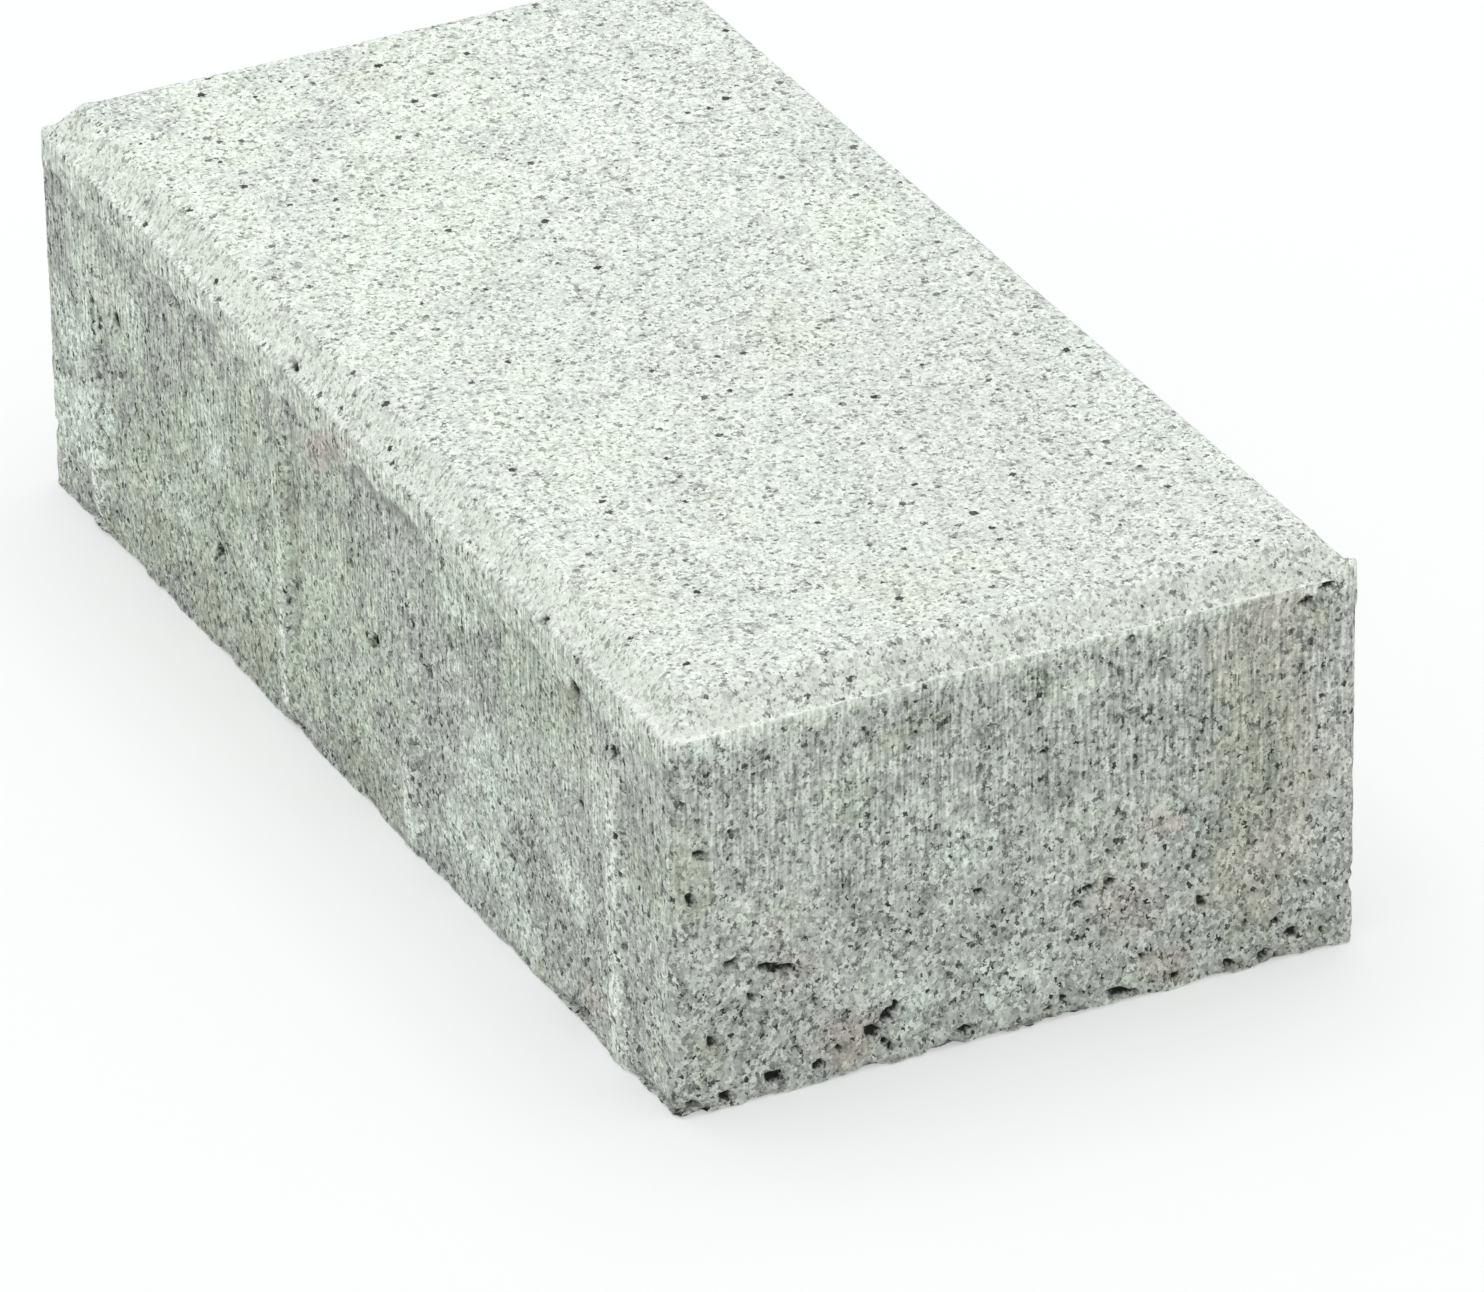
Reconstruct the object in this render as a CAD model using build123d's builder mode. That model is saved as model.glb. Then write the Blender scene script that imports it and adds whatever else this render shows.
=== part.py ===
from build123d import *
import os

# Concrete paving stone, cast face up as one piece: a mould forms its sides and a stamp presses its face.
# Millimetres, +Z up. The origin is the middle of the bed face, and X runs along the long sides.

# The stone as it is laid
stone_length = 200.0
stone_width = 100.0
stone_height = 60.0
corner_radius = 2.0  # upright corners, rounded by the mould

# The pressed top edge: a sloping chamfer, and at its foot a narrow ledge that the stamp doesn't reach
chamfer_width = 3.4
chamfer_height = 4.7
ledge_width = 0.8
face_corner_radius = 2.0  # corners of the wearing face, inside the chamfer

# Spacer nibs, upright ribs on both long sides that keep the joint between two stones open
nib_root_width = 6.0
nib_crest_width = 3.0
nib_depth = 0.7
nib_drop = 9.0  # from the wearing face down to the nib's upper end
nib_run_out = 6.0  # height over which the upper end slopes back into the side
nib_end_inset = 17.0  # from the stone's end to the middle of an outer nib
nib_middle_offset = 20.0  # from the middle of the side to the middle of an inner nib

# Heights, insets and places that follow from them
ledge_height = stone_height - chamfer_height
face_inset = ledge_width + chamfer_width
nib_height = stone_height - nib_drop
outer_nib_place = stone_length / 2 - nib_end_inset
nib_places = (-outer_nib_place, -nib_middle_offset, nib_middle_offset, outer_nib_place)

# One row of spacer nibs on the long side that faces -Y: each tapers from its root on the side to its crest
side_plane = Plane.XZ.offset(stone_width / 2)
with BuildPart() as nib_row:
    for nib_place in nib_places:
        with BuildSketch(side_plane):
            with Locations((nib_place, 0)):
                Rectangle(nib_root_width, nib_height, align=(Align.CENTER, Align.MIN))
        with BuildSketch(side_plane.offset(nib_depth)):
            with Locations((nib_place, 0)):
                Rectangle(nib_crest_width, nib_height - nib_run_out, align=(Align.CENTER, Align.MIN))
        loft(ruled=True)

with BuildPart() as paving_stone:
    # Body between the mould's walls, from the bed face up to the ledge
    with BuildSketch():
        RectangleRounded(stone_length, stone_width, corner_radius)
    extrude(amount=ledge_height)

    # Pressed face: the chamfer rises from the ledge and closes in to the flat wearing face
    with BuildSketch(Plane.XY.offset(ledge_height)):
        RectangleRounded(
            stone_length - 2 * ledge_width,
            stone_width - 2 * ledge_width,
            corner_radius - ledge_width,
        )
    with BuildSketch(Plane.XY.offset(stone_height)):
        RectangleRounded(
            stone_length - 2 * face_inset,
            stone_width - 2 * face_inset,
            face_corner_radius,
        )
    loft(ruled=True)

    # Spacer nibs on both long sides, cast in one with the stone
    add(nib_row.part)
    mirror(nib_row.part, about=Plane.XZ)

paving_stone.part.label = "paving_stone"
os.makedirs("parts", exist_ok=True)
export_step(paving_stone.part, "parts/paving_stone.step")
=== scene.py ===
import random
from math import cos, radians, sin

import bmesh
import bpy
import numpy as np
from mathutils import Matrix, Vector, kdtree, noise


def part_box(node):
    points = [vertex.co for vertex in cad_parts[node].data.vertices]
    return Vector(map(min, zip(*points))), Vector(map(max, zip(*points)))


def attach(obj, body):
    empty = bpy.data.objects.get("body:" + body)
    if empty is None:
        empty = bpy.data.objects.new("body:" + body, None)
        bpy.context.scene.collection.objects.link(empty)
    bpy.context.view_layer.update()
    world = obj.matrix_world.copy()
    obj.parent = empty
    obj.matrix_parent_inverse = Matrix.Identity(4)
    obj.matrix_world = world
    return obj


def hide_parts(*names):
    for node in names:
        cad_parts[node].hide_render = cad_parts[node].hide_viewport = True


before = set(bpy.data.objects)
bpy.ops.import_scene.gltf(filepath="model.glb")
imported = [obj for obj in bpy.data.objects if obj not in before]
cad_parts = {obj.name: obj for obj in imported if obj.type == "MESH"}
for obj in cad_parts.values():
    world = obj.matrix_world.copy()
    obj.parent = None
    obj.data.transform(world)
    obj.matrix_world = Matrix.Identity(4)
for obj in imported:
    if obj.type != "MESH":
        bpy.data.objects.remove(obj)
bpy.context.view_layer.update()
mm = 0.001

# the stone's main sizes, in mm
stoneLow, stoneHigh = (np.array(corner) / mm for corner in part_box("paving_stone"))
nibDepth = 0.7
nibInset = 17  # from an end of the stone to the middle of an outer nib
chamferHigh = 4.7
outerNib, innerNib = stoneHigh[0] - nibInset, 20  # from the middle of a long side
halfLong, halfWide, tall = stoneHigh - (0, nibDepth, 0)
ledge = tall - chamferHigh  # height of the pressed edge's foot

# how finely the cast block is sliced before its surface is worked, in mm
stoneSlices = {
    "across": 0.84,  # between cuts along the length and along the width
    "rows": ((6.0, 0.55), (49.0, 0.95), (tall, 0.52)),  # up to this height, spacing upwards
    "bedStep": 4,  # the bed face gets every fourth cut
    "onCut": 0.01,  # points this near to a cut lie on it
    "weld": 0.001,
    "flatAngle": 1.0,  # degrees between faces that count as one plane
    "softening": 2,  # passes that take the sharpness off every edge
    "shoulder": (4.0, 8.0, 12),  # how far in and down the long top edges are rounder still, and passes
    "brow": (3.2, 8),  # how far down the edge of the wearing face is rounder on all sides, and passes
    "pull": 0.5,  # how far a pass draws a point to the middle of its neighbours
}


def spread(low, high, step):
    count = max(1, round((high - low) / step))
    return [low + (high - low) * i / count for i in range(1, count)]


def rowHeights(rows):
    low = 0.0
    for high, step in rows:
        yield from spread(low, high, step)
        if high < tall:
            yield high
        low = high


def bedFaces(bm, gap):
    return [face for face in bm.faces if face.calc_center_median().z < gap * mm]


def withEdges(faces):
    verts = {vert for face in faces for vert in face.verts}
    edges = {edge for face in faces for edge in face.edges}
    return list(verts) + list(edges) + list(faces)


def sliceAcross(bm, axis, places, gap, pick):
    normal = Vector((0, 0, 0))
    normal[axis] = 1
    for place in places:
        bmesh.ops.bisect_plane(bm, geom=pick(), dist=gap * mm, plane_co=normal * place * mm, plane_no=normal)


def sliceStone(cuts):
    bm = bmesh.new()
    bm.from_mesh(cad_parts["paving_stone"].data)
    bmesh.ops.remove_doubles(bm, verts=bm.verts, dist=cuts["weld"] * mm)
    bmesh.ops.dissolve_limit(bm, angle_limit=radians(cuts["flatAngle"]), verts=bm.verts, edges=bm.edges)

    # the sides and the face finely, with the bed face taken off, then a new bed face coarsely
    bmesh.ops.delete(bm, geom=bedFaces(bm, cuts["weld"]), context="FACES_ONLY")
    xPlaces = spread(stoneLow[0], stoneHigh[0], cuts["across"])
    yPlaces = spread(stoneLow[1], stoneHigh[1], cuts["across"])
    for axis, places in enumerate((xPlaces, yPlaces, rowHeights(cuts["rows"]))):
        sliceAcross(bm, axis, places, cuts["onCut"], lambda: bm.verts[:] + bm.edges[:] + bm.faces[:])
    rim = [edge for edge in bm.edges if edge.is_boundary]
    bmesh.ops.contextual_create(bm, geom=rim)
    for axis, places in enumerate((xPlaces, yPlaces)):
        sliceAcross(bm, axis, places[::cuts["bedStep"]], cuts["onCut"],
                    lambda: withEdges(bedFaces(bm, cuts["weld"])))

    # softer edges
    inward, down, passes = cuts["shoulder"]
    shoulder = [vert for vert in bm.verts
                if abs(vert.co.y) > (halfWide - inward) * mm and vert.co.z > (tall - down) * mm]
    down, browPasses = cuts["brow"]
    brow = [vert for vert in bm.verts if vert.co.z > (tall - down) * mm]
    for verts in [bm.verts] * cuts["softening"] + [shoulder] * passes + [brow] * browPasses:
        bmesh.ops.smooth_vert(bm, verts=verts, factor=cuts["pull"],
                              use_axis_x=True, use_axis_y=True, use_axis_z=True)
    bmesh.ops.recalc_face_normals(bm, faces=bm.faces)
    return bm


stoneBm = sliceStone(stoneSlices)
stoneMesh = bpy.data.meshes.new("paving_stone_cast")
stoneBm.to_mesh(stoneMesh)
stoneBm.free()
stoneMesh.polygons.foreach_set("use_smooth", [True] * len(stoneMesh.polygons))
stoneMesh.update()
print("sliced stone:", len(stoneMesh.vertices), "points,",
      sum(len(polygon.vertices) - 2 for polygon in stoneMesh.polygons), "triangles")

# relief of the concrete, in mm: mostly the size of a lump and how far it stands in or out
stoneRelief = {
    "sideTilt": (0.35, 0.75),  # how far a normal leans up or down where a side gives way to an edge
    "bedTilt": (0.6, 0.9),  # and where the bed face begins
    "longTilt": (0.6, 0.8),  # how far it leans across where a long side begins
    "slopeTilt": (0.58, 0.96),  # how far it leans up where the chamfer gives way to the wearing face
    "ledgeBand": (0.2, 0.6),  # how far over the ledge the sides stop and the chamfer has begun
    "faceGrain": ((1.7, 0.05), (5.0, 0.04), (30.0, 0.05)),
    "sideGrain": ((1.8, 0.09), (4.0, 0.09), (12.0, 0.10), (45.0, 0.15)),
    "upright": (1, 1, 40),  # stretch of patterns that are the same all the way up
    "skinGrain": 0.2,  # share of the side's grain that shows on the smooth cement skin under the ledge
    "skinDrop": (1.5, 5.0),  # how far down the skin reaches on the ends and on the long sides
    "skinFade": (1.3, 0.6),  # how gently it ends there
    "skinRagged": 1.5,  # how far its foot wavers on the long sides
    "skinWaves": ((5.0, 1.0), (2.0, 0.6)),
    "skinStep": (0.14, -0.14),  # how far out the skin stands, and the side below it
    "dirtAndShadeUnder": (3.0, 0.3, 0.3),  # dirt and painted shade from and to this far under the skin's foot, and its share
    "dirtAndShadeFoot": (0.2, 1.5, 0.2),  # dirt and painted contact shade at the bed face: how high up it is full and gone, and its share
    "dirtAndShadeWaves": 2,  # how strongly the skin's waves break it up
    "dirtAndShadeBreaks": (26.0, -0.35, 0.35),  # size of its gaps along a side, and where they end
    "streak": (1.2, 10.0, 0.12),  # width, length and depth of the marks that the mould drags
    "streakHeights": (12, 34),  # where they begin and are full
    "torn": (2.6, 0.45),  # size and depth of the torn hollows low on the sides
    "tornStretch": (1.4, 1.4, 0.8),
    "tornGroups": (9.0, 0.5),  # size and share of the lumps that gather them
    "tornEdge": (0.38, 0.75),
    "tornHeights": (12, 40),  # where they thin out and are gone
    "crumble": (5.0, 0.75, 0.5),  # size of the crumbs off the bottom edge, depth on ends and long sides
    "crumbleStretch": (1, 1, 3),
    "crumbs": (1.8, 0.5),  # size and share of the finest
    "crumbleSpan": (0.3, 1.2),  # the mean that is lost, and the most, against the depth
    "crumbleReach": (0.3, 3.4),  # how far from the edge it is full and gone
    "burr": 0.35,  # the rim that the stamp squeezes up along the ledge
    "burrWaves": ((4.0, 1.0), (1.4, 0.5)),
    "burrShare": 0.5,
    "burrHeights": (0.25, 0.8),  # how far over and under the ledge it is full and gone
    "burrIn": (0.3, 0.8),  # and how far in from the edge
    "burrLong": 0.1,  # how much of it there is on the long sides
    "burrCorner": (10, 4),  # how far from their ends it comes back
    "burrThin": (8, 20, 0.45),  # where it thins out along an end, and by how much
    "burrBreak": (34.0, 40.0, 0.4),  # where it breaks off, and by how much
    "smoothCorner": (halfLong, -halfWide, 6.0, 24.0),  # corner with a smooth lip, only painted: pale cement with a painted highlight, where it is full and gone
    "smoothShare": 0.8,
    "smoothIn": (1.2, 2.4),  # how far in from the edge the lip is full and gone
    "smoothHeights": (0.7, 0.5, 1.4),  # its middle over the ledge, how far from that it is full and gone
    "flash": (  # lumps of squeezed-up concrete on the corners of the ledge: along, across, reach, height
        (halfLong, halfWide, 3.6, 1.4),
        (-halfLong, halfWide, 3.5, 0.8),
        (-halfLong, -halfWide, 3.0, 0.5),
    ),
    "flashCore": 0.45,  # share of the reach that is raised in full
    "flashFoot": (1.2, 0.2),  # from and to how far under the ledge it rises
    "nibFoot": (9.0, 0.4),  # height and depth of the wear at a nib's foot
    "nibHighlights": (  # nibs by place: how far up, how wide and how strongly a highlight is painted along their crests
        (-outerNib, 20, 2.4, 1.0),
        (-innerNib, 30, 1.0, 1.0),
        (innerNib, 15, 1.4, 1.0),
        (outerNib, 42, 2.4, 0.8),
    ),
    "highlightAcross": (0.5, 1.3),  # where the painted highlight stripe is full and gone, against its width
    "highlightUp": (0.5, 1.4),  # and against its height
    "highlightBack": 0.4,  # how much of it there is on the back
    "pitRagged": (1.2, 0.5),  # how the outlines of pits waver
    "pitEdge": (0.35, 1.15),  # where pits, chips and stains are full and gone, against their size
    "chipEdge": (0.3, 1.1),
    "stainRagged": (5.0, 2.2),
    "stainEdge": (0.2, 1.3),
    "tornShade": 0.5,  # how dark the torn hollows are painted as shade, against the pits
    "longPale": 0.1,  # how much paler the painted shade in both is on the long sides
    "mottle": ((4.0, 1.0), (2.0, 0.5)),  # small and broad clouds of light and dark
    "patch": ((14.0, 1.0), (7.0, 0.5)),
}

# one number for each pattern of lumps, and its layers count on from there
lumpSeeds = {
    "faceGrain": 3, "sideGrain": 11, "skin": 21, "dirtAndShade": 23, "streak": 31, "torn": 41, "crumble": 51,
    "burr": 61, "pits": 71, "stains": 81, "mottle": 91, "patch": 93,
}

# sides of the stone: a point on each, its along and up directions
stoneSides = {
    "end": ((halfLong, 0, 0), (0, 1, 0), (0, 0, 1)),
    "farEnd": ((-halfLong, 0, 0), (0, -1, 0), (0, 0, 1)),
    "front": ((0, -halfWide, 0), (1, 0, 0), (0, 0, 1)),
    "back": ((0, halfWide, 0), (-1, 0, 0), (0, 0, 1)),
    "face": ((0, 0, tall), (1, 0, 0), (0, 1, 0)),
}

# pits and slits that show: along, up, half length, half height, turn in degrees, depth
stoneMarks = {
    "end": (
        (-34.3, 18.6, 4.7, 0.6, -15, 1.5), (-36.5, 19.2, 1.4, 0.7, -15, 1.6), (-38.7, 15.8, 0.9, 0.8, 0, 1.4),
        (-42.0, 21.1, 1.0, 0.7, 20, 1.1), (-40.5, 22.8, 1.3, 0.6, 25, 1.0), (-41.5, 40.2, 1.0, 0.8, 0, 1.1),
        (-46.0, 38.5, 1.2, 0.8, 15, 1.1), (-47.5, 32.3, 0.9, 1.1, 0, 1.1), (-43.5, 34.0, 0.8, 0.8, 0, 0.9),
        (-22.6, 21.9, 0.6, 0.6, 0, 1.0), (-19.6, 17.7, 2.4, 0.55, 20, 0.9), (-30.0, 12.5, 0.8, 1.2, 20, 0.9),
        (-8.0, 30.7, 0.8, 1.8, 8, 0.8), (-2.5, 25.0, 1.0, 0.7, 0, 0.7), (4.0, 25.6, 1.1, 0.7, 10, 0.7),
        (15.0, 49.0, 0.8, 1.6, 0, 0.8), (16.2, 54.0, 1.0, 0.8, 0, 0.8), (24.6, 26.0, 0.8, 1.7, -35, 0.9),
        (10.6, 18.4, 2.0, 0.6, 18, 1.2), (13.6, 18.9, 1.6, 0.65, -6, 1.2), (17.6, 14.0, 0.7, 0.7, 0, 0.9),
        (26.7, 12.1, 1.1, 1.0, 0, 0.9), (40.1, 15.6, 0.7, 0.6, 0, 0.9), (42.2, 10.8, 1.3, 0.6, 25, 0.9),
        (-18.9, 7.8, 2.2, 0.85, 36, 1.8), (-21.4, 5.7, 1.5, 1.05, -20, 1.8), (-19.5, 3.2, 1.8, 0.6, -50, 1.6),
        (-26.2, 4.4, 0.8, 0.85, 10, 1.3), (-29.2, 2.7, 1.0, 0.8, 0, 1.2), (-35.7, 2.8, 1.7, 1.05, 0, 2.1),
        (-42.9, 1.7, 1.1, 0.9, 0, 1.5), (-47.3, 1.4, 1.1, 0.7, 0, 1.2), (-44.5, 10.4, 1.2, 0.9, 0, 1.1),
        (-8.0, 2.3, 1.1, 0.9, 0, 1.3), (6.4, 2.9, 0.8, 0.7, 0, 1.1), (15.3, 1.5, 3.1, 0.65, -15, 1.5),
        (18.3, 6.0, 0.7, 0.7, 0, 1.3), (22.9, 1.9, 0.9, 1.0, 0, 1.5), (30.8, 1.6, 1.0, 0.85, 0, 1.4),
        (36.1, 1.7, 1.0, 0.9, 0, 1.4), (40.0, 3.8, 1.2, 0.8, 15, 1.3), (38.0, 6.3, 0.7, 0.6, 0, 1.0),
        (44.8, 3.0, 0.8, 0.7, 0, 1.1), (45.2, 54.6, 2.0, 0.8, 12, 1.0), (42.0, 53.0, 1.6, 0.7, 8, 0.9),
    ),
    "front": (
        (-16.9, 55.9, 1.6, 0.6, 0, 1.05), (62.0, 55.2, 1.2, 0.8, 0, 0.9), (-75.4, 36.6, 1.7, 1.8, 0, 1.3),
        (-54.7, 48.6, 3.0, 0.9, 0, 0.9), (-66.0, 22.3, 1.8, 1.0, 10, 1.0), (-42.0, 16.0, 2.5, 1.2, 15, 1.8),
        (-42.6, 23.7, 1.8, 0.8, 0, 0.9), (-27.0, 28.0, 1.4, 0.8, 0, 0.8), (8.9, 26.6, 2.0, 1.0, 10, 1.5),
        (26.0, 29.9, 2.0, 1.0, 15, 1.5), (-7.6, 10.1, 1.2, 0.9, 0, 1.1), (1.7, 7.6, 1.6, 1.0, 0, 1.6),
        (50.3, 14.4, 2.2, 0.9, 0, 1.0), (71.7, 33.0, 2.2, 1.0, 0, 1.0), (71.0, 50.0, 2.0, 1.6, 0, 1.6),
        (83.6, 46.8, 1.2, 1.3, 0, 1.1), (70.5, 1.6, 5.5, 0.8, 10, 1.2), (89.0, 2.2, 2.2, 0.6, -6, 1.0),
        # the long slits at -16.6 and 86.2 run beside nibs; their painted pit shade stands for the nibs'
        # shaded flanks
        (-4.7, 48.7, 2.6, 1.0, 18, 0.45), (-16.6, 27.0, 0.95, 23.0, 0, 0.46), (86.2, 36.0, 1.0, 11.0, 0, 0.4),
    ),
    "face": (
        (52.0, -6.0, 3.0, 0.6, 30, 0.5), (49.5, -20.0, 0.8, 2.0, 0, 0.6), (84.0, -40.0, 1.6, 0.8, 40, 0.5),
    ),
}

# scattered pits: how many on each side, smallest and largest radius, depth against radius, how low they keep
stonePits = {
    "end": (46, 0.5, 1.0, 1.0, 1.9),
    "farEnd": (80, 0.5, 1.4, 1.0, 1.9),
    "front": (60, 0.5, 1.0, 0.8, 1.5),
    "back": (90, 0.5, 1.2, 0.9, 1.6),
    "face": (60, 0.7, 1.1, 0.5, 1.0),
}
pitScatter = {
    "seed": 5,
    "onEnds": 0.92,  # share of a side's length that they cover
    "onLong": 0.96,
    "onFace": 0.9,  # share of the wearing face's width
    "low": 1.0,  # lowest place on a side, and the share of its height that they cover from there
    "up": 0.85,
    "squash": (0.55, 1.0),
    "turn": 25,  # degrees either way
}

# shallow chips off the bottom edge, as pale as the rest: as the marks, with their side
stoneChips = (
    ("front", 93, 0, 10, 2.2, 0, 0.9), ("front", 68, 0, 9, 1.8, 0, 0.8), ("front", -84, 0, 6, 3.0, 0, 1.0),
    ("front", -19, 0, 5, 2.2, 0, 0.6), ("end", -49, 0, 6, 3.4, 0, 1.4), ("end", 2, 0, 9, 1.2, 0, 0.5),
    ("back", 40, 0, 12, 2.0, 0, 0.8), ("farEnd", 20, 0, 10, 2.0, 0, 0.9),
)

# stains: side, along, up, half length, half height, turn in degrees, strength
stoneStains = {
    "green": (
        ("front", -45, 20, 72, 36, 0, 1.1), ("front", 56, 44, 20, 11, 0, 1.0),
        ("front", -8, 38, 28, 16, 0, 0.9), ("front", 34, 44, 16, 10, 0, 1.1),
        ("front", 92, 34, 8, 14, 0, 0.7), ("end", -25, 40.5, 6, 4, 0, 0.8),
        ("end", 3.5, 50, 4.5, 4, 0, 0.9), ("end", -16, 5.5, 3, 2.6, 0, 1.0), ("end", -48, 36, 4, 9, 0, 0.8),
        ("face", -50, -14, 66, 17, -28, 1.1), ("face", -60, -44, 42, 9, 0, 1.0),
        ("face", -82, -28, 18, 14, 0, 1.0), ("face", -10, 32, 17, 9, -30, 1.0),
        ("face", 24, -27, 22, 15, -25, 0.6), ("back", 20, 22, 70, 30, 0, 1.0),
        ("farEnd", -20, 30, 22, 18, 0, 0.7),
    ),
    "olive": (
        ("end", 34, 27, 10.5, 40, 0, 1.3), ("end", 45, 50, 6, 5, 0, 0.7), ("end", -14, 49, 9, 5, 0, 0.9),
        ("end", -48, 36, 4, 9, 0, 1.2), ("end", 22, 5, 6, 4, 0, 1.1), ("end", -45, 10, 5, 6, 0, 0.9),
        ("end", -25, 4, 6, 3, 0, 1.0), ("end", 45, 5, 6, 6, 0, 0.7), ("front", -46, 6, 40, 9, 0, 0.85),
        # the second band here, at -15.8, is painted shade along a nib's flank
        ("front", 2, 4, 15, 6, 0, 1.1), ("front", -15.8, 33, 1.5, 24, 0, 1.6),
        ("front", -55, 50, 5, 3, 0, 0.9),
        ("front", 70, 48, 4, 5, 0, 0.9), ("front", 91, 36, 6, 10, 0, 0.9), ("front", 38, 8, 4, 3, 0, 0.7),
        ("front", -60, 50, 14, 2, 0, 0.5), ("face", 13, 12, 12, 10, 0, 0.9), ("face", 84, -6, 13, 12, 0, 1.0),
        ("face", 70, -42, 8, 8, 0, 0.9), ("face", -86, -7, 7, 7, 0, 0.8), ("face", 49, -19, 5, 5, 0, 0.9),
        ("back", 30, 8, 34, 7, 0, 0.8), ("back", -50, 36, 18, 12, 0, 0.6), ("farEnd", 25, 20, 9, 24, 0, 0.9),
        ("farEnd", -30, 8, 12, 6, 0, 0.7),
    ),
    "grey": (
        ("face", 45, 20, 52, 22, -16, 1.1), ("face", 12, 0, 14, 9, -20, 0.8),
        ("face", 86, 26, 18, 20, 0, 1.2), ("face", -60, 38, 18, 6, 0, 0.4),
        ("end", 6, 37, 9, 5, 0, 0.9), ("end", -46, 46, 5, 5, 0, 0.6),
        ("end", -6, 47, 7, 6, 0, 0.6), ("end", 3, 14, 8, 6, 0, 0.4), ("front", 90, 40, 7, 6, 0, 0.8),
    ),
    "pink": (
        ("end", -26, 6, 6, 5, 0, 1.3), ("end", -34, 18, 4.5, 4, 0, 0.8), ("end", 22, 25, 5, 2.2, 0, 0.9),
        ("end", 15, 14, 8, 6, 0, 0.9), ("end", 22, 5, 5, 4, 0, 1.1), ("end", 37, 26, 15, 42, 0, 0.55),
        ("end", 45, 32, 5, 14, 0, 0.5), ("front", -5, 49, 14, 3.2, 28, 1.0), ("front", 75, 6, 6, 3, 0, 0.8),
        ("front", 15, 12, 4, 3, 0, 0.6), ("front", -97, 35, 3, 10, 0, 0.5), ("front", 66, 14, 7, 5, 0, 0.4),
        ("face", -86, -7, 6, 5, 0, 0.7), ("face", 68, -36, 5, 4, 0, 0.5), ("back", 5, 30, 8, 6, 0, 0.4),
        ("farEnd", 25, 18, 6, 5, 0, 0.7),
    ),
    "pale": (
        ("end", -8, 9, 18, 6, 0, 0.6), ("end", -7, 29, 8, 6, 0, 1.0), ("end", -18, 39, 7, 5, 0, 0.6),
        ("end", -44, 54, 9, 3, 0, 1.1), ("end", 43, 18, 5, 5, 0, 0.5), ("end", -15.5, 6, 2.4, 2.2, 0, 0.9),
        ("front", -88, 22, 13, 20, 0, 1.25), ("front", -42, 33, 9, 7, 0, 0.6),
        ("front", -66, 40, 10, 7, 0, 0.6),
        ("front", 20, 5, 4, 6, 0, 0.9), ("front", 95, 17, 6, 10, 0, 0.6), ("front", 64, 27, 8, 6, 0, 0.2),
        ("front", 45, 24, 20, 9, 0, 0.8), ("front", 36, 44, 15, 9, 0, 0.8), ("front", -50, 19, 12, 6, 0, 0.6),
        ("front", 70, 19, 9, 6, 0, 0.6), ("front", 44, 8, 28, 9, 0, 0.8), ("front", 79, 34, 4, 11, 0, 0.45),
        ("front", -28, 20, 5, 8, 0, 0.4), ("face", -66, 8, 52, 46, 0, 0.9), ("back", -10, 20, 20, 9, 0, 0.6),
        ("farEnd", -10, 26, 10, 8, 0, 0.6),
    ),
}


def rise(values, low, high):
    t = np.clip((values - low) / (high - low), 0, 1)
    return t * t * (3 - 2 * t)


def lumps(points, size, seed, stretch=(1, 1, 1)):
    apart = 31.7  # keeps the patterns of two seeds from meeting
    scaled = (points / np.array(stretch) + seed * apart) / size
    return np.array([noise.noise(p) for p in scaled.tolist()])


def layers(points, listed, seed, stretch=(1, 1, 1), start=0):
    for i, (size, share) in enumerate(listed):
        start = start + share * lumps(points, size, seed + i, stretch)
    return start


def shaken(points, size, reach, seed):
    return points + reach * np.stack([lumps(points, size, seed + i) for i in range(3)], 1)


def scatterPits(lie):
    dice = random.Random(lie["seed"])
    for side, (count, small, large, depth, low) in stonePits.items():
        half = lie["onEnds"] * halfWide if side in ("end", "farEnd") else lie["onLong"] * halfLong
        for i in range(count):
            radius = small + (large - small) * dice.random() ** 2
            if side == "face":
                up = dice.uniform(-lie["onFace"], lie["onFace"]) * halfWide
            else:
                up = lie["low"] + lie["up"] * tall * dice.random() ** low
            squash, turn = dice.uniform(*lie["squash"]), dice.uniform(-lie["turn"], lie["turn"])
            yield side, dice.uniform(-half, half), up, radius, radius * squash, turn, radius * depth


class Finder:
    # finds the stone's points by side and place
    facing = 0.3  # least share of a point's normal that looks the side's way

    def __init__(self, points, normals):
        self.points, self.normals = points, normals
        self.tree = kdtree.KDTree(len(points))
        for i, point in enumerate(points.tolist()):
            self.tree.insert(point, i)
        self.tree.balance()

    def spots(self, places, inner, outer):
        total = np.zeros(len(self.points))
        for side, along, up, halfLength, halfHeight, turn, strength in places:
            origin, alongWay, upWay = (np.array(v, float) for v in stoneSides[side])
            centre = origin + alongWay * along + upWay * up
            found = self.tree.find_range(centre.tolist(), outer * max(halfLength, halfHeight))
            near = np.array([i for point, i, gap in found], int)
            near = near[self.normals[near] @ np.cross(alongWay, upWay) > self.facing]
            away = self.points[near] - centre
            u, w = away @ alongWay, away @ upWay
            c, s = cos(radians(turn)), sin(radians(turn))
            q = np.hypot((u * c + w * s) / halfLength, (w * c - u * s) / halfHeight)
            total[near] = np.maximum(total[near], strength * (1 - rise(q, inner, outer)))
        return total


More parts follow.
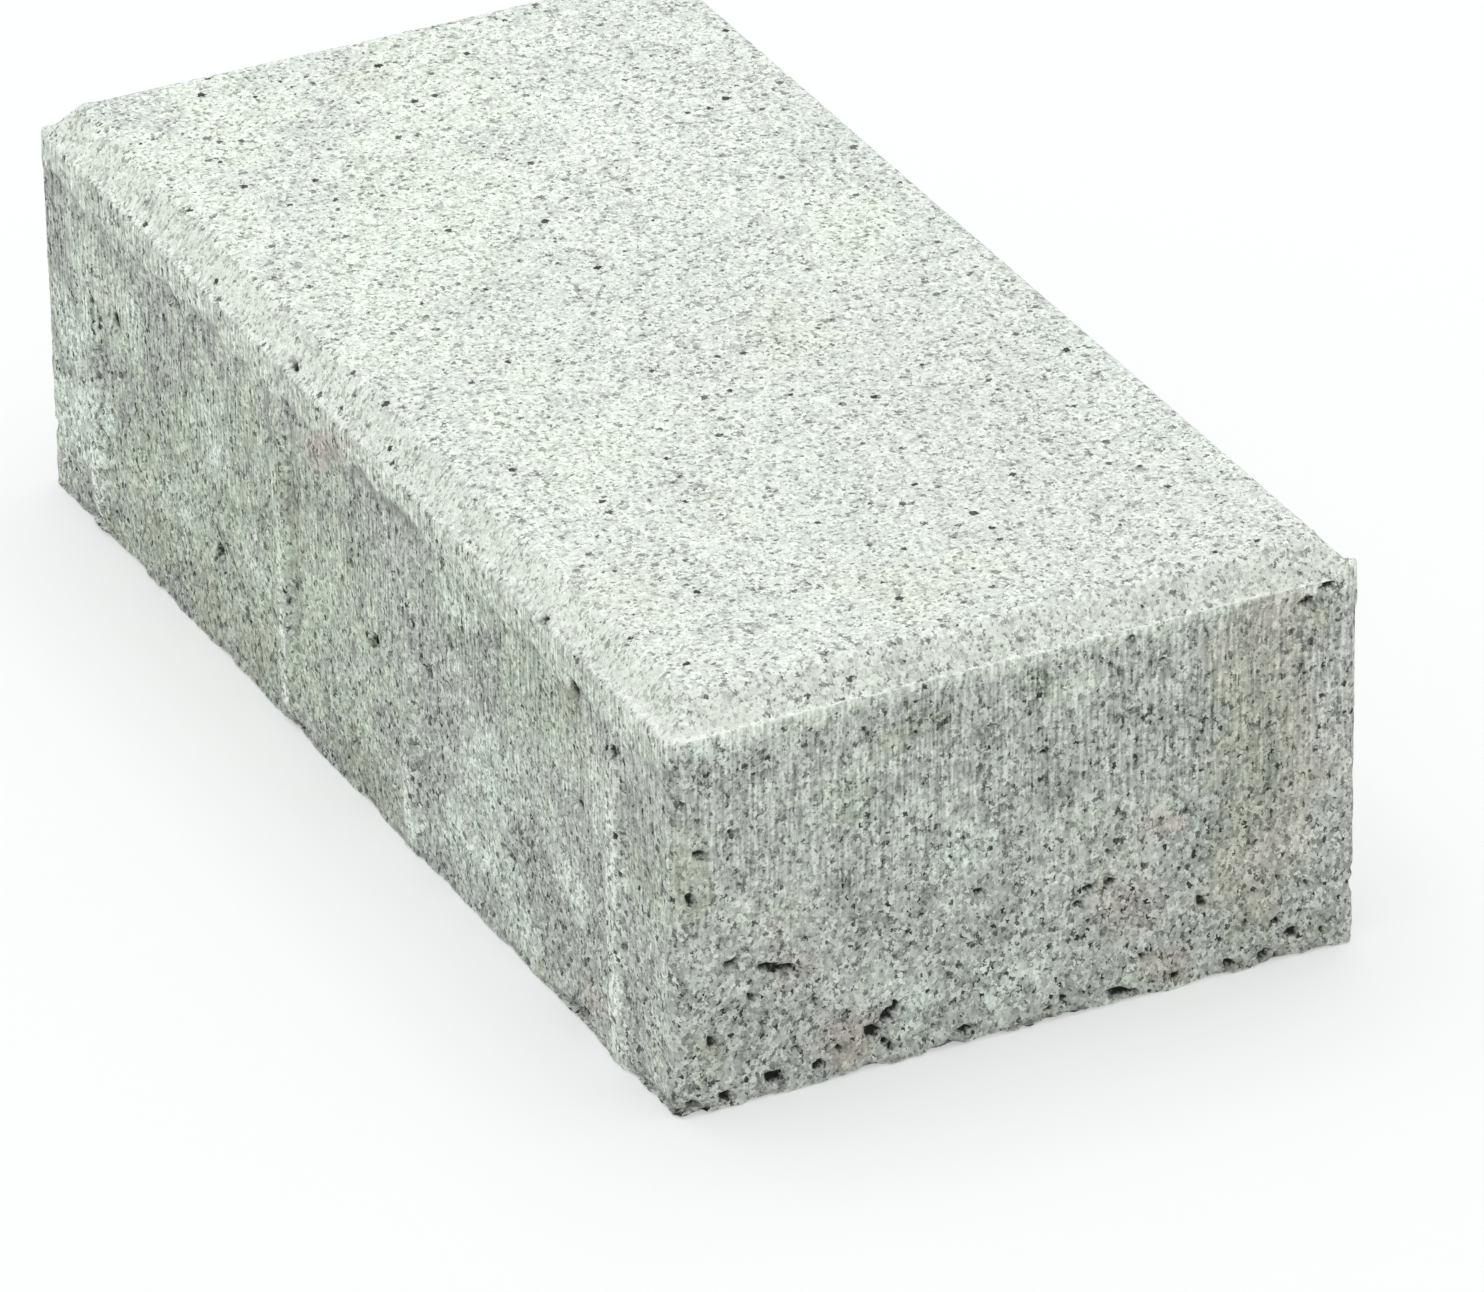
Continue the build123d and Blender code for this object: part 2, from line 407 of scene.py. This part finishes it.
def workStone(mesh, relief, seeds):
    count = len(mesh.vertices)
    points, normals = np.empty(count * 3), np.empty(count * 3)
    mesh.vertices.foreach_get("co", points)
    mesh.vertices.foreach_get("normal", normals)
    points, normals = points.reshape(-1, 3) / mm, normals.reshape(-1, 3)
    x, y, height = points.T
    tilt = normals[:, 2]
    sideTop, slopeFoot = relief["ledgeBand"]
    below = height < ledge + sideTop
    onSide = (1 - rise(np.abs(tilt), *relief["sideTilt"])) * below
    onBed = rise(-tilt, *relief["bedTilt"])
    longSide = rise(np.abs(normals[:, 1]), *relief["longTilt"])
    slope = rise(height, ledge, ledge + slopeFoot) * (1 - rise(tilt, *relief["slopeTilt"]))
    edgeGap = np.minimum(halfLong - np.abs(x), np.clip(halfWide - np.abs(y), 0, None))

    # grain of the pressed face and of the mould sides
    faceGrain = layers(points, relief["faceGrain"], seeds["faceGrain"])
    sideGrain = layers(points, relief["sideGrain"], seeds["sideGrain"])

    # smooth skin of cement under the ledge, ending in a ragged step
    waver = layers(points, relief["skinWaves"], seeds["skin"], relief["upright"])
    onEnd, onLong = relief["skinDrop"]
    skinFoot = ledge - onEnd - (onLong - onEnd) * longSide + relief["skinRagged"] * waver * longSide
    onEnd, onLong = relief["skinFade"]
    fade = onEnd + (onLong - onEnd) * longSide
    skin = rise(height, skinFoot - fade, skinFoot + fade) * below

    # dirt and painted shade in broken lines under the skin's overhanging foot and along the bed face
    broken = relief["dirtAndShadeWaves"] * waver
    low, high, share = relief["dirtAndShadeUnder"]
    dirtAndShade = rise(height, skinFoot - low, skinFoot - high) * (1 - skin)
    dirtAndShade = dirtAndShade * np.clip(share + broken, 0, 1) * longSide
    size, low, high = relief["dirtAndShadeBreaks"]
    dirtAndShade *= rise(lumps(points, size, seeds["dirtAndShade"], relief["upright"]), low, high)
    low, high, share = relief["dirtAndShadeFoot"]
    dirtAndShade = np.maximum(dirtAndShade, (1 - rise(height, low, high)) * np.clip(share + broken, 0, 1)) * onSide

    # drag marks of the mould, torn hollows low down
    width, length, depth = relief["streak"]
    streaks = depth * lumps(points, width, seeds["streak"], (1, 1, length / width))
    streaks *= rise(height, *relief["streakHeights"])
    size, depth = relief["torn"]
    groupSize, groupShare = relief["tornGroups"]
    torn = lumps(points, size, seeds["torn"], relief["tornStretch"])
    torn += groupShare * lumps(points, groupSize, seeds["torn"] + 1)
    torn = depth * rise(torn, *relief["tornEdge"]) * (1 - rise(height, *relief["tornHeights"]))

    # crumbled bottom edge
    size, onEnd, onLong = relief["crumble"]
    crumbSize, crumbShare = relief["crumbs"]
    mean, most = relief["crumbleSpan"]
    fall = lumps(points, size, seeds["crumble"], relief["crumbleStretch"])
    fall += crumbShare * lumps(points, crumbSize, seeds["crumble"] + 1)
    fall = np.clip(fall + mean, 0, most)
    fall *= np.where(halfLong - np.abs(x) < halfWide - np.abs(y), onEnd, onLong)
    crumble = fall * (1 - rise(np.where(onBed > 0.5, edgeGap, height), *relief["crumbleReach"]))

    # burr along the ledge, the smooth lip at one corner, and lumps on the others; the lip's pale colour is
    # partly cement, partly a painted highlight
    onRim = 1 - rise(np.abs(height - ledge), *relief["burrHeights"])
    onRim *= 1 - rise(edgeGap, *relief["burrIn"])
    burr = layers(points, relief["burrWaves"], seeds["burr"], start=relief["burrShare"])
    burr = onRim * np.clip(burr, 0, 1)
    far, close = relief["burrCorner"]
    burr *= 1 - (1 - relief["burrLong"]) * longSide * (1 - rise(np.abs(x), halfLong - far, halfLong - close))
    alongEnd = y * np.sign(x)
    (thinFrom, thinTo, thin), (breakFrom, breakTo, lost) = relief["burrThin"], relief["burrBreak"]
    burr *= 1 - thin * rise(alongEnd, thinFrom, thinTo) - lost * rise(alongEnd, breakFrom, breakTo)
    cornerX, cornerY, close, far = relief["smoothCorner"]
    smooth = relief["smoothShare"] * (1 - rise(np.hypot(x - cornerX, y - cornerY), close, far))
    smooth *= 1 - rise(edgeGap, *relief["smoothIn"])
    middle, close, far = relief["smoothHeights"]
    lipAndHighlight = np.maximum(burr, smooth * (1 - rise(np.abs(height - ledge - middle), close, far)))
    flash = np.zeros(count)
    low, high = relief["flashFoot"]
    for cornerX, cornerY, wide, lift in relief["flash"]:
        near = 1 - rise(np.hypot(x - cornerX, y - cornerY), relief["flashCore"] * wide, wide)
        flash = np.maximum(flash, lift * near * rise(height, ledge - low, ledge - high))

    # nibs, worn at the foot, and a painted highlight along their crests
    crest = np.clip((np.abs(y) - halfWide) / nibDepth, 0, 1) * longSide
    footHigh, footWear = relief["nibFoot"]
    footWear = footWear * crest * (1 - rise(height, 0, footHigh))
    crestHighlight = np.zeros(count)
    bySide = np.where(y > 0, relief["highlightBack"], 1)
    (across, acrossEnd), (up, upEnd) = relief["highlightAcross"], relief["highlightUp"]
    for along, top, wide, share in relief["nibHighlights"]:
        stripe = longSide * (1 - rise(np.abs(x - along), across * wide, acrossEnd * wide))
        crestHighlight += share * stripe * (1 - rise(height, up * top, upEnd * top)) * bySide

    # pits, slits and chips
    finder = Finder(shaken(points, *relief["pitRagged"], seeds["pits"]), normals)
    marks = [(side, *mark) for side, listed in stoneMarks.items() for mark in listed]
    pits = finder.spots(marks + list(scatterPits(pitScatter)), *relief["pitEdge"])
    chips = finder.spots(stoneChips, *relief["chipEdge"])

    rough = onSide * (1 - skin)
    skinOut, sideOut = relief["skinStep"]
    onSkin = relief["skinGrain"]
    offset = faceGrain * (1 - onSide) * (1 - onBed) + sideGrain * (onSkin + (1 - onSkin) * rough) * onSide
    offset += skinOut * skin * onSide + (streaks - torn + sideOut * (1 - crest)) * rough
    offset -= pits + crumble + footWear + chips * onSide
    moved = points + normals * offset[:, None]
    moved[:, 2] += relief["burr"] * burr + flash + chips * onBed
    mesh.vertices.foreach_set("co", (moved * mm).ravel())

    # where the looks change
    finder = Finder(shaken(points, *relief["stainRagged"], seeds["stains"]), normals)
    values = {name: finder.spots(places, *relief["stainEdge"]) for name, places in stoneStains.items()}
    # painted shade in pits and torn hollows, darker where they are deeper
    hollowShade = (pits + relief["tornShade"] * torn * rough) * (1 - relief["longPale"] * longSide)
    values.update({
        "pitShade": np.clip(hollowShade, 0, 1),
        "skin": skin,
        "side": onSide,
        "crest": crestHighlight,
        "dirtAndShade": dirtAndShade,
        "rim": lipAndHighlight,
        "litLongSlope": slope * longSide,
        "endSlope": slope * (1 - longSide),
        "mottle": layers(points, relief["mottle"], seeds["mottle"]),
        "patch": layers(points, relief["patch"], seeds["patch"]),
    })
    for name, value in values.items():
        mesh.attributes.new(name, "FLOAT", "POINT").data.foreach_set("value", value.astype(np.float32))
    mesh.update()


workStone(stoneMesh, stoneRelief, lumpSeeds)
stone = bpy.data.objects.new("paving_stone_cast", stoneMesh)
bpy.context.scene.collection.objects.link(stone)
print("worked the stone's surface")


class Wire:
    # a socket of a material, so that sums of sockets are written as sums
    def __init__(self, tree, socket=None):
        self.tree = tree
        self.socket = socket

    def node(self, kind, settings=None, sockets=None, out=0):
        made = self.tree.nodes.new("ShaderNode" + kind)
        for name, value in (settings or {}).items():
            setattr(made, name, value)
        for key, value in (sockets or {}).items():
            if isinstance(value, Wire):
                self.tree.links.new(value.socket, made.inputs[key])
            else:
                made.inputs[key].default_value = value
        return Wire(self.tree, made.outputs[out])

    def other(self, out):
        return Wire(self.tree, self.socket.node.outputs[out])

    def maths(self, operation, first, second):
        return self.node("Math", {"operation": operation}, {0: first, 1: second})

    def __add__(self, other):
        return self.maths("ADD", self, other)

    def __radd__(self, other):
        return self.maths("ADD", other, self)

    def __sub__(self, other):
        return self.maths("SUBTRACT", self, other)

    def __rsub__(self, other):
        return self.maths("SUBTRACT", other, self)

    def __mul__(self, other):
        return self.maths("MULTIPLY", self, other)

    def __rmul__(self, other):
        return self.maths("MULTIPLY", other, self)

    def rise(self, low, high):
        return self.node("MapRange", {"interpolation_type": "SMOOTHSTEP"},
                         {"Value": self, "From Min": low, "From Max": high})

    def tint(self, plain, tinted):
        return self.node("Mix", {"data_type": "RGBA"}, {0: self, 6: plain, 7: tinted}, out=2)


# colours are linear, sizes in mm; a pair of shares is the plain one and what the rough sides add to it
concreteFinish = {
    "face": (0.675, 0.721, 0.671, 1),
    "facePale": (0.728, 0.778, 0.724, 1),
    "faceGreen": (0.708, 0.776, 0.681, 1),
    "faceOlive": (0.668, 0.712, 0.634, 1),
    "faceGrey": (0.665, 0.703, 0.659, 1),
    # the long chamfer's yellow-green is its own; its extra lightness over the face is painted light
    "litLongSlope": (0.722, 0.780, 0.700, 1),
    "endSlope": (0.686, 0.728, 0.662, 1),
    "side": (0.485, 0.513, 0.478, 1),
    "sideGreen": (0.490, 0.545, 0.459, 1),
    "sideOlive": (0.408, 0.434, 0.364, 1),
    "sideGrey": (0.395, 0.419, 0.389, 1),
    "skin": (0.645, 0.700, 0.620, 1),
    # pale colour painted along the nibs' crests as a highlight
    "crest": (0.69, 0.74, 0.67, 1),
    # pale cement of the squeezed-up lip, made paler still as a painted highlight
    "lipAndHighlight": (0.82, 0.86, 0.79, 1),
    "pink": (0.470, 0.440, 0.398, 1),
    "pale": (0.60, 0.665, 0.60, 1),
    # near-black colours painted as shade in pores, gaps, specks and pits
    "hollowShade": (0.045, 0.048, 0.042, 1),
    "deepShade": (0.012, 0.013, 0.011, 1),
    # dark colour for dirt and for painted shade under the skin's foot and along the bed face
    "dirtAndShade": (0.25, 0.265, 0.225, 1),
    # where a stain begins and is full, and how the clouds of light and dark fray its outline
    "greenEdge": (0.1, 1.0),
    "oliveEdge": (0.25, 1.1),
    "paleEdge": (0.2, 1.2),
    "faceGreyEdge": (0.1, 1.0),
    "sideGreyEdge": (0.35, 1.2),
    "pinkEdge": (0.1, 1.3),
    "fray": (0.85, 0.5),  # by the broad clouds and by the small ones
    "pinkFray": 0.7,
    "pinkFace": 0.2,  # how much of it there is on the wearing face
    "skinShare": 0.85,
    "lipAndHighlightShare": 0.85,
    "dirtAndShadeShare": 0.75,
    # light and dark grains
    "grain": 0.54,
    "grainStretch": (1, 1, 0.75),  # below 1 is longer
    "shake": (0.4, 0.7),  # size and reach of the shifts that keep grains and specks from being round
    "darkGrains": 4.0,  # the higher, the fewer
    "fine": 0.5,  # size of the finest clouds
    "cloudRoughness": 0.55,
    "cloudMean": 0.5,
    "lightness": (0.42, 0.4),
    "darkness": (0.95, -0.05),
    "darkMean": 0.2,
    "fineShare": 0.7,
    "contrast": {"all": 0.82, "side": 0.20, "litLongSlope": 0.28, "endSlope": 0.1, "dragged": 0.15, "lipAndHighlight": 0.6},
    "tone": 1.04,
    "mottle": (0.08, 0.14),
    "patch": (0.04, 0.13),
    "darkest": 0.08,
    "dragHeights": (14, 36),  # where the drag marks begin and are full
    "streak": (0.48, 1, 19, 14),  # width, detail, place in the pattern, stretch upwards
    "streakShare": 1.6,
    # pores between the grains, larger gaps, specks and pits, which are painted dark as shade in hollows
    "pore": 0.6,
    "poreEdge": (0.12, 0.24),
    "gaps": (0.9, 2, 23),  # size, detail, place in the pattern
    "gap": (0.6, -0.1),
    "gapEdge": (0.63, 0.74),
    "specks": (3.2, 0.30, 0.62),  # spacing, smallest and largest radius
    "speckEdge": 0.10,
    "speckFaint": 0.35,  # the palest
    "skinHoles": 0.5,  # share of them that the skin closes
    "lipHoles": 0.7,
    "skinSmooth": 0.75,  # how much smoother the skin is than the side
    "pitShade": (0.6, 0.97),  # how the fine clouds fray the painted pit shade, and its share
    "pitEdge": (0.3, 0.9),
    "bump": (0.7, 0.4),  # strength and height
    "bumpGaps": (0.3, 1.0),
    "roughness": 0.93,
    "specular": 0.25,
}


def concreteMaterial(look):
    material = bpy.data.materials.new("concrete")
    material.use_nodes = True
    tree = material.node_tree
    shader = tree.nodes["Principled BSDF"]
    sheet = Wire(tree)
    place = sheet.node("TexCoord", out=3)
    place = sheet.node("VectorMath", {"operation": "SCALE"}, {0: place, 3: 1 / mm})

    def cloud(size, detail=1.0, shift=0.0, stretch=1.0):
        at = sheet.node("Mapping", None, {"Vector": place, "Location": (shift, 2 * shift, -shift),
                                          "Scale": (1, 1, 1 / stretch)})
        return sheet.node("TexNoise", None, {"Vector": at, "Scale": 1 / size, "Detail": detail,
                                             "Roughness": look["cloudRoughness"]})

    def attribute(name):
        return sheet.node("Attribute", {"attribute_name": name}, out=2)

    def parts(colour):
        first = sheet.node("SeparateColor", None, {"Color": colour})
        return first, first.other(1)

    # places shifted a little this way and that
    size, reach = look["shake"]
    shake = sheet.node("TexNoise", None, {"Vector": place, "Scale": 1 / size, "Detail": 0.0}, out=1)
    shake = sheet.node("VectorMath", {"operation": "MULTIPLY_ADD"}, {0: shake, 1: (reach,) * 3, 2: place})

    def specks(spacing, small, large):
        edge, faint = look["speckEdge"], look["speckFaint"]
        gap = sheet.node("TexVoronoi", {"feature": "F1"}, {"Vector": shake, "Scale": 1 / spacing})
        size, depth = parts(gap.other(1))
        outside = (gap * spacing - (small + (large - small) * size)).rise(-edge, edge)
        return (1 - outside) * (faint + (1 - faint) * depth)

    side, skin, pitShade, mottle, patch = (attribute(name) for name in ("side", "skin", "pitShade", "mottle", "patch"))
    litLongSlope, endSlope, rim = (attribute(name) for name in ("litLongSlope", "endSlope", "rim"))
    rough = side * (1 - look["skinSmooth"] * skin)

    def onRough(plain, added):
        return plain + added * rough

    upright = sheet.node("VectorMath", {"operation": "MULTIPLY"}, {0: shake, 1: look["grainStretch"]})
    grains = sheet.node("TexVoronoi", {"feature": "F1"}, {"Vector": upright, "Scale": 1 / look["grain"]})
    lightness, darkness = parts(grains.other(1))
    darkness = sheet.maths("POWER", darkness, look["darkGrains"])
    mean = look["cloudMean"]
    fine = cloud(look["fine"]) - mean
    gaps = cloud(*look["gaps"])
    dragged = sheet.node("SeparateXYZ", None, {0: place}, out=2).rise(*look["dragHeights"]) * side
    streak = (cloud(*look["streak"]) - mean) * dragged

    # patches of colour
    byPatch, byMottle = look["fray"]
    ragged = byPatch * patch + byMottle * mottle

    def stain(name, edge, fray=ragged):
        return (attribute(name) + fray).rise(*look[edge])

    green, olive, pale = stain("green", "greenEdge"), stain("olive", "oliveEdge"), stain("pale", "paleEdge")
    face = green.tint(pale.tint(look["face"], look["facePale"]), look["faceGreen"])
    face = stain("grey", "faceGreyEdge").tint(face, look["faceGrey"])
    face = olive.tint(face, look["faceOlive"])
    # long chamfer made lighter as painted light
    face = litLongSlope.tint(face, look["litLongSlope"])
    face = endSlope.tint(face, look["endSlope"])
    sides = green.tint(look["side"], look["sideGreen"])
    sides = olive.tint(sides, look["sideOlive"])
    sides = pale.tint(sides, look["pale"])
    sides = stain("grey", "sideGreyEdge").tint(sides, look["sideGrey"])
    sides = (skin * look["skinShare"]).tint(sides, look["skin"])
    base = side.tint(face, sides)
    pink = stain("pink", "pinkEdge", look["pinkFray"] * ragged)
    base = (pink * (look["pinkFace"] + (1 - look["pinkFace"]) * side)).tint(base, look["pink"])
    # painted highlight along the nibs' crests
    base = attribute("crest").tint(base, look["crest"])
    # pale lip: cement colour with a painted highlight
    base = (rim * look["lipAndHighlightShare"]).tint(base, look["lipAndHighlight"])

    # light and dark grain
    by = look["contrast"]
    contrast = by["all"] + by["side"] * side - by["litLongSlope"] * litLongSlope - by["endSlope"] * endSlope
    contrast = (contrast - by["dragged"] * dragged) * (1 - by["lipAndHighlight"] * rim)
    grit = (lightness - mean) * onRough(*look["lightness"])
    grit = grit + (look["darkMean"] - darkness) * onRough(*look["darkness"]) - fine * look["fineShare"]
    tone = look["tone"] + grit * contrast + mottle * onRough(*look["mottle"])
    tone = tone + patch * onRough(*look["patch"]) + streak * look["streakShare"]
    tone = sheet.maths("MAXIMUM", tone, look["darkest"])
    tone = sheet.node("CombineColor", None, {0: tone, 1: tone, 2: tone})
    base = sheet.node("Mix", {"data_type": "RGBA", "blend_type": "MULTIPLY"},
                      {0: 1.0, 6: base, 7: tone}, out=2)

    # dirt with painted shade, and painted shade in pores and pits
    pores = fine.rise(*look["poreEdge"]) * look["pore"] + gaps.rise(*look["gapEdge"]) * onRough(*look["gap"])
    holes = (pores + specks(*look["specks"])) * (1 - look["skinHoles"] * skin * side)
    holes = holes * (1 - look["lipHoles"] * rim)
    # dirt, with painted shade under the skin's overhanging foot and painted contact shade at the bed face
    base = (attribute("dirtAndShade") * look["dirtAndShadeShare"]).tint(base, look["dirtAndShade"])
    # painted shade in pores, gaps and specks
    base = holes.tint(base, look["hollowShade"])
    fray, share = look["pitShade"]
    # painted shade in the pits
    base = ((pitShade + fray * fine).rise(*look["pitEdge"]) * share).tint(base, look["deepShade"])

    strength, high = look["bump"]
    height = (fine + gaps * onRough(*look["bumpGaps"])) * -1
    bump = sheet.node("Bump", None, {"Strength": strength, "Distance": high * mm, "Height": height})
    tree.links.new(base.socket, shader.inputs["Base Color"])
    tree.links.new(bump.socket, shader.inputs["Normal"])
    shader.inputs["Roughness"].default_value = look["roughness"]
    shader.inputs["Specular IOR Level"].default_value = look["specular"]
    return material


stoneMesh.materials.append(concreteMaterial(concreteFinish))
print("made the concrete")


def seenWhite(sheet):
    # rays that see the background: from the camera, off metal and through glass
    seen = sheet.node("LightPath")
    return seen + seen.other("Is Glossy Ray") + seen.other("Is Transmission Ray")


# a sheet of paper under the stone, in metres; the last is how far it is whitened for the camera
floorSetup = {"half": 6.0, "colour": (0.925, 0.952, 0.940, 1), "white": (0.992, 1, 0.999, 1), "whiten": 0.43}


def layFloor(setup):
    bm = bmesh.new()
    bmesh.ops.create_grid(bm, x_segments=1, y_segments=1, size=setup["half"])
    mesh = bpy.data.meshes.new("floor")
    bm.to_mesh(mesh)
    bm.free()
    floor = bpy.data.objects.new("floor", mesh)
    bpy.context.scene.collection.objects.link(floor)
    material = bpy.data.materials.new("paper")
    material.use_nodes = True
    tree = material.node_tree
    shader = tree.nodes["Principled BSDF"]
    shader.inputs["Base Color"].default_value = setup["colour"]
    shader.inputs["Roughness"].default_value = 1.0
    shader.inputs["Specular IOR Level"].default_value = 0.0
    sheet = Wire(tree)
    white = sheet.node("Emission", None, {"Color": setup["white"], "Strength": 1.0})
    share = seenWhite(sheet) * setup["whiten"]
    both = sheet.node("MixShader", None, {0: share, 1: Wire(tree, shader.outputs[0]), 2: white})
    tree.links.new(both.socket, tree.nodes["Material Output"].inputs["Surface"])
    mesh.materials.append(material)


layFloor(floorSetup)
print("laid the floor")

# an even sky and one large soft lamp, in metres and watts
lightSetup = {"sky": 0.68, "power": 21.0, "size": 2.0, "place": (-0.25, 0.05, 2.0)}


def setLights(setup):
    world = bpy.data.worlds.new("studio")
    bpy.context.scene.world = world
    world.use_nodes = True
    tree = world.node_tree
    background = tree.nodes["Background"]
    background.inputs["Color"].default_value = (1, 1, 1, 1)
    strength = seenWhite(Wire(tree)) * (1 - setup["sky"]) + setup["sky"]
    tree.links.new(strength.socket, background.inputs["Strength"])
    lamp = bpy.data.lights.new("softbox", "AREA")
    lamp.energy = setup["power"]
    lamp.size = setup["size"]
    softbox = bpy.data.objects.new("softbox", lamp)
    softbox.location = setup["place"]
    softbox.rotation_euler = (-Vector(setup["place"])).to_track_quat("-Z", "Y").to_euler()
    bpy.context.scene.collection.objects.link(softbox)


setLights(lightSetup)
print("set the lights")

cameraSetup = {
    "place": (1.33795, -0.64397, 0.82207),  # metres
    "azimuth": 63.98,  # 0 looks along +Y
    "elevation": 28.717,
    "roll": -0.89,
    "lens": 301.4,
    "sensor": 36.0,
}


def placeCamera(setup):
    data = bpy.data.cameras.new("camera")
    data.lens = setup["lens"]
    data.sensor_fit = "HORIZONTAL"
    data.sensor_width = setup["sensor"]
    camera = bpy.data.objects.new("camera", data)
    turn = Matrix.Rotation(radians(setup["azimuth"]), 4, "Z")
    tilt = Matrix.Rotation(radians(90 - setup["elevation"]), 4, "X")
    roll = Matrix.Rotation(radians(setup["roll"]), 4, "Z")
    camera.matrix_world = Matrix.Translation(setup["place"]) @ turn @ tilt @ roll
    bpy.context.scene.collection.objects.link(camera)
    bpy.context.scene.camera = camera


placeCamera(cameraSetup)
bpy.context.scene.view_settings.view_transform = "Standard"
print("placed the camera")

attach(stone, "root")
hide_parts("paving_stone")
